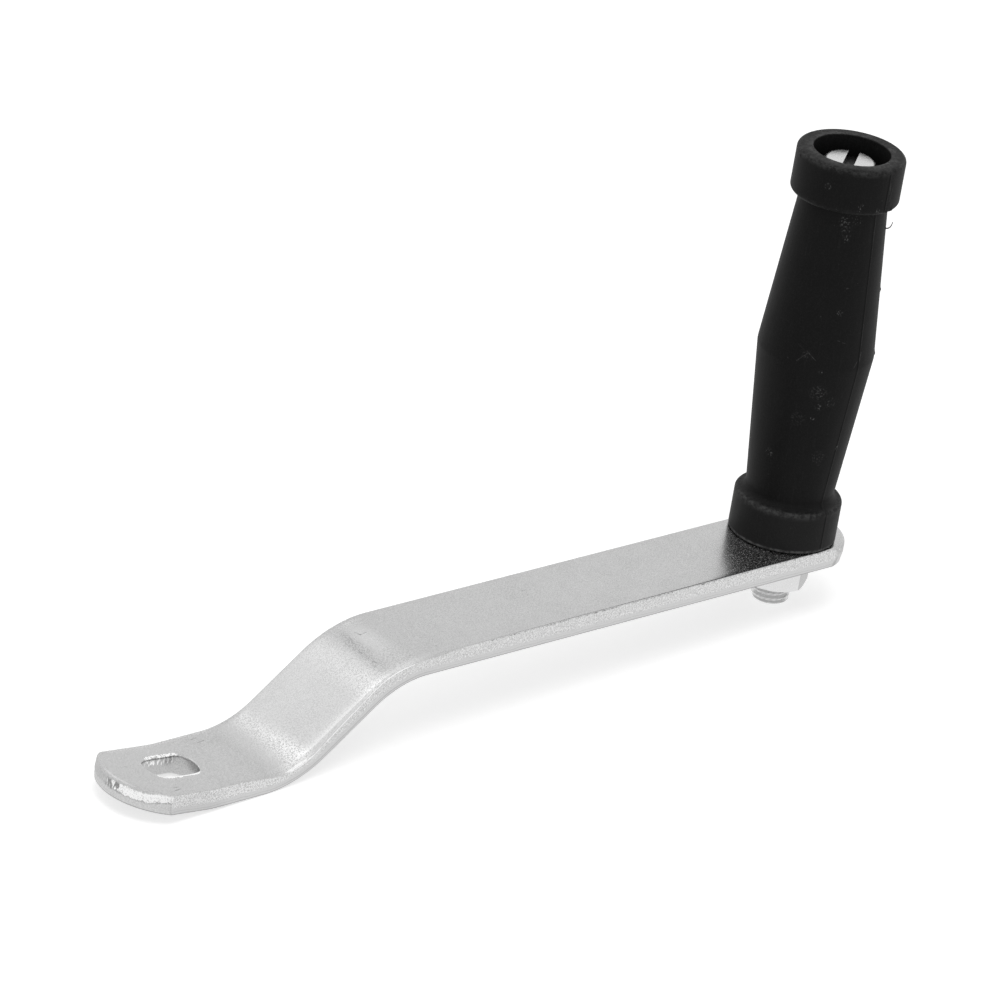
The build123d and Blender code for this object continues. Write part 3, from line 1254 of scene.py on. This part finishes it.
@dataclass
class Grip:
    """The moulded grip: two collars, a swelling body, and a counterbore for the bolt's head."""

    collar_radius: float = 16.4 * MM
    lower_collar: float = 13.3 * MM
    upper_collar: float = 14.2 * MM
    end_round: float = 1.5 * MM
    ledge_round: float = 1.2 * MM
    neck_radius: float = 13.25 * MM
    neck_round: float = 1.9 * MM
    belly_radius: float = 17.65 * MM
    belly_height: float = 61.6 * MM
    belly_round: float = 6 * MM
    counterbore_radius: float = 11.6 * MM
    counterbore_depth: float = 8.2 * MM
    counterbore_round: float = 0.3 * MM
    counterbore_seat_round: float = 0.4 * MM
    bore_radius: float = 6.58 * MM
    bore_upper_round: float = 0.2 * MM
    bore_lower_round: float = 0.3 * MM
    parting: float = radians(-88)
    parting_height: float = 0.10 * MM
    parting_width: float = 0.35 * MM
    crease_aside: float = 0.42 * MM
    crease_width: float = 0.4 * MM
    nub_height: float = 0.3 * MM
    nub_radius: float = 0.9 * MM
    nubs: tuple[tuple[float, float], ...] = (
        (radians(-49), 83.6 * MM), (radians(-47), 62.9 * MM), (radians(-85), 112.1 * MM),
        (radians(-76), 112.3 * MM), (radians(157), 124.1 * MM),
    )
    flash_angle: float = -52
    flash_height: float = 103.6 * MM
    flash_thick: float = 0.23 * MM
    pitch: float = 3 * MM
    outside_pitch: float = 0.6 * MM
    turns: int = 264
    sharp: float = 50
    flash_sharp: float = 60

    def __post_init__(self) -> None:
        """Takes the grip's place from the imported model."""
        self.foot, self.length = standing(*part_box("grip"))

    def section(self) -> list[tuple[float, float, float]]:
        """The outside and inside of the half section.

        Returns:
            Radius, height and rounding of each corner, from the bore's lower mouth outwards.
        """
        top = self.length
        return [
            (self.bore_radius, 0, self.bore_lower_round),
            (self.collar_radius, 0, 0.5 * self.end_round),
            (self.collar_radius, self.lower_collar, self.ledge_round),
            (self.neck_radius, self.lower_collar, self.neck_round),
            (self.belly_radius, self.belly_height, self.belly_round),
            (self.neck_radius, top - self.upper_collar, 0.45 * self.neck_round),
            (self.collar_radius, top - self.upper_collar, self.ledge_round),
            (self.collar_radius, top, self.end_round),
            (self.counterbore_radius, top, self.counterbore_round),
            (self.counterbore_radius, top - self.counterbore_depth, self.counterbore_seat_round),
            (self.bore_radius, top - self.counterbore_depth, self.bore_upper_round),
        ]

    def rounded(self, back: Vector, corner: Vector, ahead: Vector, rounding: float) -> list[Vector]:
        """Rounds one corner of the section.

        Args:
            back: The corner before it.
            corner: The corner.
            ahead: The corner after it.
            rounding: Radius of the rounding.

        Returns:
            The points of its arc.
        """
        back, ahead = (back - corner).normalized(), (ahead - corner).normalized()
        half = acos(max(-1.0, min(1.0, back.dot(ahead)))) / 2
        reach = rounding / tan(half)
        centre = corner + (back + ahead).normalized() * rounding / sin(half)
        start, end = corner + back * reach - centre, corner + ahead * reach - centre
        sweep = start.angle_signed(end)
        first = atan2(start.y, start.x)
        steps = max(4, round(degrees(abs(sweep)) / 9))
        return [centre + Vector((cos(a), sin(a))) * rounding
                for a in spread(first, first - sweep, steps)]

    def profile(self) -> list[tuple[float, float]]:
        """Draws the closed half section with its corners rounded.

        Returns:
            Radius and height of its points, closer together on the outside.
        """
        corners = [Vector((radius, height)) for radius, height, _ in self.section()]
        points: list[Vector] = []
        for i, (_, _, rounding) in enumerate(self.section()):
            ahead = corners[(i + 1) % len(corners)]
            arc = self.rounded(corners[i - 1], corners[i], ahead, rounding)
            if points:
                outside = self.outside(min(points[-1].x, arc[0].x))
                pitch = self.outside_pitch if outside else self.pitch
                points += self.between(points[-1], arc[0], pitch)
            points += arc
        points += self.between(points[-1], points[0], self.pitch)
        return [tuple(point) for point in points]

    def between(self, start: Vector, end: Vector, pitch: float) -> list[Vector]:
        """Returns evenly spaced points between two others, about that far apart."""
        fill = max(1, round((end - start).length / pitch))
        return [start + (end - start) * k / fill for k in range(1, fill)]

    def outside(self, radius: float) -> bool:
        """Returns whether that radius can only be on the outside."""
        return radius > self.neck_radius - 1 * MM

    def surface(self, angle: float, height: float) -> Vector:
        """Finds a place on the grip's outside.

        Args:
            angle: Degrees round its axis from +X.
            height: Height over its lower end.

        Returns:
            The place.
        """
        bare = [(radius, level) for radius, level, _ in self.section()[1:8]]
        radius = self.collar_radius
        for (first, low), (second, high) in zip(bare, bare[1:]):
            if low <= height <= high and high > low:
                radius = first + (second - first) * (height - low) / (high - low)
        return self.foot + polar(radius, radians(angle), height)

    def aside(self, angle: float, mark: float) -> float:
        """Returns the angle from a mark to that angle, from -pi to pi."""
        return (angle - mark + pi) % tau - pi

    def seam(self, angle: float, radius: float, height: float) -> float:
        """How far the mould's parting line and its nubs stand proud of the outside.

        Args:
            angle: Angle round the axis.
            radius: Radius of the bare section.
            height: Height over the lower end.

        Returns:
            The rise there.
        """
        if not (self.outside(radius) and 1 * MM < height < self.length - 1 * MM):
            return 0.0
        across = radius * min(abs(self.aside(angle, self.parting + side)) for side in (0, pi))
        line = self.parting_height * max(0.0, 1 - across / self.parting_width)
        for nub_angle, nub_height in self.nubs:
            off = hypot(radius * self.aside(angle, nub_angle), height - nub_height)
            line += self.nub_height * hill(off, 0.0, self.nub_radius)
        return line

    def shade(self, angle: float, radius: float) -> float:
        """Returns how dark the painted shade in the crease beside the parting line is at that
        angle.
        """
        across = radius * self.aside(angle, self.parting)
        return hill(across, -self.crease_aside, self.crease_width) if self.outside(radius) else 0.0

    def rubbed(self, radius: float, height: float) -> float:
        """How much wear and painted highlight lie on the section.

        Args:
            radius: Radius there.
            height: Height there.

        Returns:
            The wear, most on the collars' most handled rims.
        """
        outer, top = self.collar_radius, self.length
        # The first rim is mostly a painted highlight: a thin light line along the lower collar's
        # bottom edge.
        rims = ((outer, 0.75 * MM, 2.6, 0.6 * MM), (outer, self.lower_collar, 0.8, 2.6 * MM),
                (outer, top - self.upper_collar, 0.3, 2.4 * MM), (outer, top, 0.9, 2.4 * MM),
                (self.counterbore_radius + 0.3 * MM, top, 1.0, 0.5 * MM))
        return max(share * hill(hypot(radius - rim_radius, height - rim), 0.0, reach)
                   for rim_radius, rim, share, reach in rims)

    def whisker(self) -> Piece:
        """Makes the thin curl of flash that stands out under the upper collar.

        Returns:
            The piece.
        """
        root = self.surface(self.flash_angle, self.flash_height)
        out, up = polar(1, radians(self.flash_angle), 0), Vector((0, 0, 1))
        course = [root + (out * ahead + up * lift) * MM
                  for ahead, lift in ((-0.6, 0), (0.8, -0.3), (1.5, 0.4), (1.7, 2.3))]
        draft = Draft()
        rings = []
        for share in spread(0, 1, 14):
            weights = [(1 - share) ** 3, 3 * share * (1 - share) ** 2, 3 * share ** 2 * (1 - share),
                       share ** 3]
            centre = sum((point * weight for point, weight in zip(course, weights)), Vector())
            thick = self.flash_thick * (1 - 0.5 * share)
            side, lift = out.cross(up), (out * -share + up * (1 - share)).normalized()
            rings.append([draft.point(centre + (side * cos(a) + lift * sin(a)) * thick)
                          for a in spread(0, tau, 10)[:-1]])
        draft.skin(rings)
        draft.close(rings[0], course[0] - out * 0.05 * MM)
        draft.close(rings[-1], course[3] + up * 0.05 * MM)
        return draft.piece("GripFlash", self.flash_sharp)

    def angles(self) -> list[float]:
        """Places the mesh's columns, closer together at the two parting lines.

        Returns:
            Their angles, rising.
        """
        even = [self.parting + a for a in spread(0, tau, self.turns)[:-1]]
        fine = [self.parting + side + offset * self.parting_width / self.collar_radius
                for side in (0, pi) for offset in (-1.2, -0.6, 0.6, 1.2)]
        return sorted(even + fine)

    def build(self, finish: GripPlastic) -> list[Piece]:
        """Makes the grip and its curl of flash.

        Args:
            finish: Their material.

        Returns:
            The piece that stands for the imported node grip, and the flash.
        """
        draft = Draft()
        columns = self.angles()
        rings = []
        for radius, height in self.profile():
            # The "seam" mark is painted shade beside the parting line, and "rub" holds wear and
            # painted highlights on the rims.
            rub = self.rubbed(radius, height)
            rings.append([draft.point(
                self.foot + polar(radius + self.seam(angle, radius, height), angle, height),
                rub=rub, seam=self.shade(angle, radius)) for angle in columns])
        draft.skin(rings, around=True)
        grip = draft.piece("Grip", self.sharp)
        flash = self.whisker()
        plastic = finish.material(self.surface)
        for piece in (grip, flash):
            piece.data.materials.append(plastic)
            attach(piece, "grip")
        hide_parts("grip")
        return [grip, flash]


# ---------------------------------------------------------------- fasteners


@dataclass
class GripBolt:
    """The slotted shoulder bolt, with its real helical thread."""

    head_radius: float = 8 * MM
    head_height: float = 5 * MM
    head_round: float = 1.4 * MM
    slot_width: float = 3.4 * MM
    slot_depth: float = 2.4 * MM
    slot_angle: float = radians(36)
    shank_radius: float = 6.5 * MM
    crest_radius: float = 5.9 * MM
    pitch: float = 1.75 * MM
    thread_share: float = 0.61
    crest_share: float = 0.14
    flank_share: float = 0.68
    thread_length: float = 18 * MM
    thread_row: float = 0.11 * MM
    end_chamfer: float = 0.8 * MM
    end_dome: float = 0.3 * MM
    shank_rows: int = 12
    head_rows: int = 4
    rounding_rows: int = 8
    turns: int = 144
    sharp: float = 35

    def __post_init__(self) -> None:
        """Takes the bolt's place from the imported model."""
        self.foot, self.length = standing(*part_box("grip_bolt"))
        self.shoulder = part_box("crank_arm")[1].z - self.foot.z

    def thread(self, height: float, angle: float) -> float:
        """Cuts the thread.

        Args:
            height: Height over the bolt's lower end.
            angle: Angle round its axis.

        Returns:
            The thread's radius there.
        """
        deep = self.thread_share * self.pitch
        flank = abs((height / self.pitch - angle / tau) % 1.0 - 0.5) * 2
        radius = self.crest_radius - deep * rise(flank, self.crest_share,
                                                 self.crest_share + self.flank_share)
        run_out = rise(height, self.thread_length, self.thread_length + self.pitch)
        radius += (self.crest_radius - radius) * run_out
        return min(radius, self.crest_radius - self.end_chamfer + height)

    def rows(self) -> list[tuple[float, float | None]]:
        """Lays out the bolt's rings.

        Returns:
            Height and radius of each, with no radius where the thread gives it.
        """
        seat = self.length - self.head_height
        rows: list[tuple[float, float | None]] = [
            (height, None)
            for height in spread(0, self.shoulder, round(self.shoulder / self.thread_row))]
        rows += [(height, self.shank_radius)
                 for height in spread(self.shoulder, seat, self.shank_rows)]
        rows += [(height, self.head_radius)
                 for height in spread(seat, self.length - self.head_round, self.head_rows)]
        rows += [(self.length - self.head_round * (1 - sin(a)),
                  self.head_radius - self.head_round * (1 - cos(a)))
                 for a in spread(0, pi / 2, self.rounding_rows)[1:]]
        return rows

    def slot_cutter(self) -> Piece:
        """Makes a bar as wide as the slot, turned to its angle.

        Returns:
            The bar, with its end in the head.
        """
        bar = bmesh.new()
        bmesh.ops.create_cube(bar, size=1.0)
        size = Vector((3 * self.head_radius, self.slot_width, 2 * self.slot_depth))
        turn = Matrix.Rotation(self.slot_angle, 4, "Z")
        place = Matrix.Translation(self.foot + polar(0, 0, self.length))
        bmesh.ops.transform(bar, matrix=place @ turn @ Matrix.Diagonal(size).to_4x4(),
                            verts=bar.verts)
        mesh = bpy.data.meshes.new("slot")
        bar.to_mesh(mesh)
        bar.free()
        return shown("slot", mesh)

    def cut_slot(self, bolt: Piece) -> None:
        """Cuts the slot into the head.

        Args:
            bolt: The bolt without it.
        """
        cutter = self.slot_cutter()
        cut = bolt.modifiers.new("slot", "BOOLEAN")
        cut.operation = "DIFFERENCE"
        cut.solver = "EXACT"
        cut.object = cutter
        evaluated = bolt.evaluated_get(bpy.context.evaluated_depsgraph_get())
        slotted = bpy.data.meshes.new_from_object(evaluated)
        bolt.modifiers.clear()
        bolt.data = slotted
        bpy.data.objects.remove(cutter)
        slotted.set_sharp_from_angle(angle=radians(self.sharp))
        slotted.materials.clear()

    def darken_slot(self, mesh: bpy.types.Mesh) -> None:
        """Marks the slot's floor and walls "sunk", painted shade, corner by corner.

        Marks on vertices would darken the flat beside them too.

        Args:
            mesh: The slotted bolt's mesh.
        """
        layer = mesh.attributes.new("sunk", "FLOAT", "CORNER")
        top = self.foot.z + self.length
        seat = top - self.head_height
        across = polar(1, self.slot_angle + pi / 2, 0)
        for face in mesh.polygons:
            flat = face.normal.z > 0.9 and face.center.z > top - 0.01 * MM
            inside = abs(across.dot(face.center - self.foot)) < self.slot_width / 2 + 0.01 * MM
            sunk = 0.85 if face.center.z > seat + 0.1 * MM and inside and not flat else 0.0
            for corner in face.loop_indices:
                layer.data[corner].value = sunk

    def build(self, finish: FastenerSteel) -> Piece:
        """Makes the bolt.

        Args:
            finish: Its material.

        Returns:
            The piece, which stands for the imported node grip_bolt.
        """
        draft = Draft()
        rings = []
        for height, plain in self.rows():
            ring = []
            for angle in spread(0, tau, self.turns)[:-1]:
                radius = self.thread(height, angle) if plain is None else plain
                # Painted shade in the thread's roots.
                root = 0.0
                if height < self.shoulder:
                    root = rise(radius, self.crest_radius, self.crest_radius - 0.5 * self.pitch)
                ring.append(draft.point(self.foot + polar(radius, angle, height), root=root))
            rings.append(ring)
        draft.skin(rings)
        draft.close(rings[0], self.foot + polar(0, 0, self.end_dome))
        draft.close(rings[-1], self.foot + polar(0, 0, self.length))
        bolt = draft.piece("GripBolt", self.sharp)
        self.cut_slot(bolt)
        self.darken_slot(bolt.data)
        bolt.data.materials.append(finish.material(self.foot))
        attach(bolt, "arm")
        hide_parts("grip_bolt")
        return bolt


@dataclass
class GripNut:
    """The hexagon nut under the arm, with its corners turned off at both faces."""

    half_flats: float = 9.5 * MM
    face_share: float = 0.95
    chamfer: float = radians(30)
    first_corner: float = radians(30)
    corner_loss: float = 0.08 * MM
    bore_radius: float = 6 * MM
    lead: float = 0.5 * MM
    # Painted shade on two facing sides.
    dull: float = 0.55
    wall_rows: int = 6
    turns: int = 360
    sharp: float = 20

    def __post_init__(self) -> None:
        """Takes the nut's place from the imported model."""
        self.foot, self.height = standing(*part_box("grip_nut"))

    def hexagon(self, angle: float) -> float:
        """The six sides, with the corners a little rounded.

        Args:
            angle: Angle round the axis.

        Returns:
            Their radius there.
        """
        from_flat = (angle - self.first_corner) % (pi / 3) - pi / 6
        corner = self.half_flats / cos(pi / 6) - self.corner_loss
        return min(self.half_flats / cos(from_flat), corner)

    def section(self, side: float) -> list[tuple[float, float]]:
        """The nut's section at one angle.

        Args:
            side: Radius of the six sides there.

        Returns:
            Radius and height of its points, once round.
        """
        face, bore_mouth = self.face_share * self.half_flats, self.bore_radius + self.lead
        drop = (side - face) * tan(self.chamfer)
        chamfer = [(face + (side - face) * share, drop * share) for share in (0.0, 0.5, 1.0)]
        walls = [(side, height)
                 for height in spread(drop, self.height - drop, self.wall_rows)[1:-1]]
        upper = [(radius, self.height - height) for radius, height in reversed(chamfer)]
        return [(bore_mouth, 0.0), *chamfer, *walls, *upper, (bore_mouth, self.height),
                (self.bore_radius, self.height - self.lead), (self.bore_radius, self.lead)]

    def build(self, finish: FastenerSteel) -> Piece:
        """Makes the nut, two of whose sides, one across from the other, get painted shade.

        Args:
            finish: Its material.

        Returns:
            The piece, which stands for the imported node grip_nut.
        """
        draft = Draft()
        columns = []
        for angle in spread(0, tau, self.turns)[:-1]:
            # Painted shade on two sides, one across from the other.
            sunk = self.dull if pi / 3 < (angle - self.first_corner) % pi < 2 * pi / 3 else 0.0
            columns.append([draft.point(self.foot + polar(radius, angle, height), sunk=sunk)
                            for radius, height in self.section(self.hexagon(angle))])
        draft.skin(columns, around=True)
        nut = draft.piece("GripNut", self.sharp)
        nut.data.materials.append(finish.material(self.foot))
        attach(nut, "arm")
        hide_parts("grip_nut")
        return nut


# ---------------------------------------------------------------- studio


@dataclass(frozen=True)
class Lamp:
    """One square soft lamp, which faces the middle of the handle."""

    name: str
    stand: tuple[float, float, float]
    size: float
    power: float
    mirrored: bool

    def light(self, target: Vector) -> None:
        """Hangs the lamp and turns it to its target.

        Args:
            target: What it faces, from which its stand is measured.
        """
        light = bpy.data.lights.new(self.name, "AREA")
        light.shape = "SQUARE"
        light.size = self.size
        light.energy = self.power
        lamp = shown(self.name, light)
        aim = (-Vector(self.stand)).to_track_quat("-Z", "Y").to_matrix().to_4x4()
        lamp.matrix_world = Matrix.Translation(target + Vector(self.stand)) @ aim
        lamp.visible_glossy = self.mirrored


@dataclass(frozen=True)
class Studio:
    """Pale floor, soft light and the camera."""

    azimuth: float = radians(-45.7)
    elevation: float = radians(25.08)
    roll: float = radians(9.52)
    distance: float = 2.168
    aside: float = -0.0849
    raised: float = 0.01008
    aim_drop: float = 0.87 * MM
    lens: float = 258.2
    sensor: float = 36.0
    heel: float = 24 * MM
    tip_ahead: float = 4 * MM
    floor_reach: float = 4.0
    floor_grey: float = 0.8
    floor_lift: float = 0.52
    fill: float = 0.6
    lamps: tuple[Lamp, ...] = (
        Lamp("ceiling", (-0.3, -0.3, 1.2), 0.7, 4, mirrored=False),
        Lamp("back", (-0.4, 0.9, 1.1), 1.0, 1.0, mirrored=True),
    )

    def floor(self) -> None:
        """Lays the floor that the handle rests on, under its hub bend and the bolt's end."""
        heel = Vector((self.heel, 0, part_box("crank_arm")[0].z))
        tip = standing(*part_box("grip_bolt"))[0] + Vector((self.tip_ahead, 0, 0))
        slope = atan2(tip.z - heel.z, tip.x - heel.x)
        mesh = bpy.data.meshes.new("Floor")
        reach = self.floor_reach
        corners = [(-reach, -reach, 0), (reach, -reach, 0), (reach, reach, 0), (-reach, reach, 0)]
        mesh.from_pydata(corners, [], [(0, 1, 2, 3)])
        floor = shown("Floor", mesh)
        floor.matrix_world = Matrix.Translation(heel) @ Matrix.Rotation(-slope, 4, "Y")
        mesh.materials.append(self.floor_material())
        floor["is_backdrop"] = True

    def floor_material(self) -> bpy.types.Material:
        """Makes the floor's material: white wherever it is lit, darker only in a shadow.

        Returns:
            The material.
        """
        material = bpy.data.materials.new("floor")
        material.use_nodes = True
        nodes = Nodes(material.node_tree)
        nodes.tree.nodes.clear()
        grey = (self.floor_grey, self.floor_grey, self.floor_grey, 1)
        diffuse = nodes.node("BsdfDiffuse", Color=grey).outputs[0]
        lift = nodes.node("Emission", Strength=self.floor_lift).outputs[0]
        lit = nodes.node("AddShader", order=(diffuse, lift)).outputs[0]
        white = nodes.node("Emission").outputs[0]
        look = nodes.node("MixShader", order=(nodes.ray("Is Camera Ray"), diffuse, lit)).outputs[0]
        mirrored = nodes.ray("Is Glossy Ray", "Is Transmission Ray")
        look = nodes.node("MixShader", order=(mirrored, look, white)).outputs[0]
        nodes.node("OutputMaterial", Surface=look)
        return material

    def world(self) -> None:
        """Sets a white surround that lights the handle only softly."""
        world = bpy.data.worlds.new("surround")
        bpy.context.scene.world = world
        world.use_nodes = True
        nodes = Nodes(world.node_tree)
        seen = nodes.ray("Is Camera Ray", "Is Glossy Ray", "Is Transmission Ray")
        level = nodes.node("MapRange", Value=seen, To_Min=self.fill, To_Max=1.0)
        background = nodes.tree.nodes["Background"]
        nodes.feed(background.inputs["Strength"], level.outputs[0])
        nodes.feed(background.inputs["Color"], (1, 1, 1, 1))

    def camera(self) -> None:
        """Stands the camera at its viewing angle and makes it the scene's camera."""
        aim = standing(*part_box("grip"))[0]
        aim.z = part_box("crank_arm")[1].z - self.aim_drop
        back = polar(cos(self.elevation), self.azimuth - pi / 2, sin(self.elevation))
        right = polar(1, self.azimuth, 0)
        up = back.cross(right)
        across = right * cos(self.roll) + up * sin(self.roll)
        upward = up * cos(self.roll) - right * sin(self.roll)
        turn = Matrix((across, upward, back)).transposed().to_4x4()
        place = aim + back * self.distance + across * self.aside + upward * self.raised
        settings = bpy.data.cameras.new("Camera")
        settings.lens = self.lens
        settings.sensor_width = self.sensor
        camera = shown("Camera", settings)
        camera.matrix_world = Matrix.Translation(place) @ turn
        bpy.context.scene.camera = camera

    def build(self) -> None:
        """Sets up floor, surround, lamps and camera."""
        bpy.context.scene.view_settings.view_transform = "Standard"
        self.floor()
        self.world()
        low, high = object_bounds()
        for lamp in self.lamps:
            lamp.light((low + high) / 2)
        self.camera()


# ---------------------------------------------------------------- assembly


def report(piece: Piece) -> None:
    """Logs a piece's name, face count and extent in millimetres."""
    extent = " x ".join(f"{size / MM:.1f}" for size in piece.dimensions)
    log.info("%s: %d faces, %s mm", piece.name, len(piece.data.polygons), extent)


def main() -> None:
    """Builds the studio and the handle's pieces in order."""
    logging.basicConfig(level=logging.INFO)
    Studio().build()
    report(CrankArm().build(ArmSteel()))
    for piece in Grip().build(GripPlastic()):
        report(piece)
    report(GripBolt().build(FastenerSteel("bolt_steel", grey=0.66, roughness=0.2, turned=True)))
    report(GripNut().build(FastenerSteel("nut_steel", grey=0.76, roughness=0.22)))


if __name__ == "__main__":
    main()
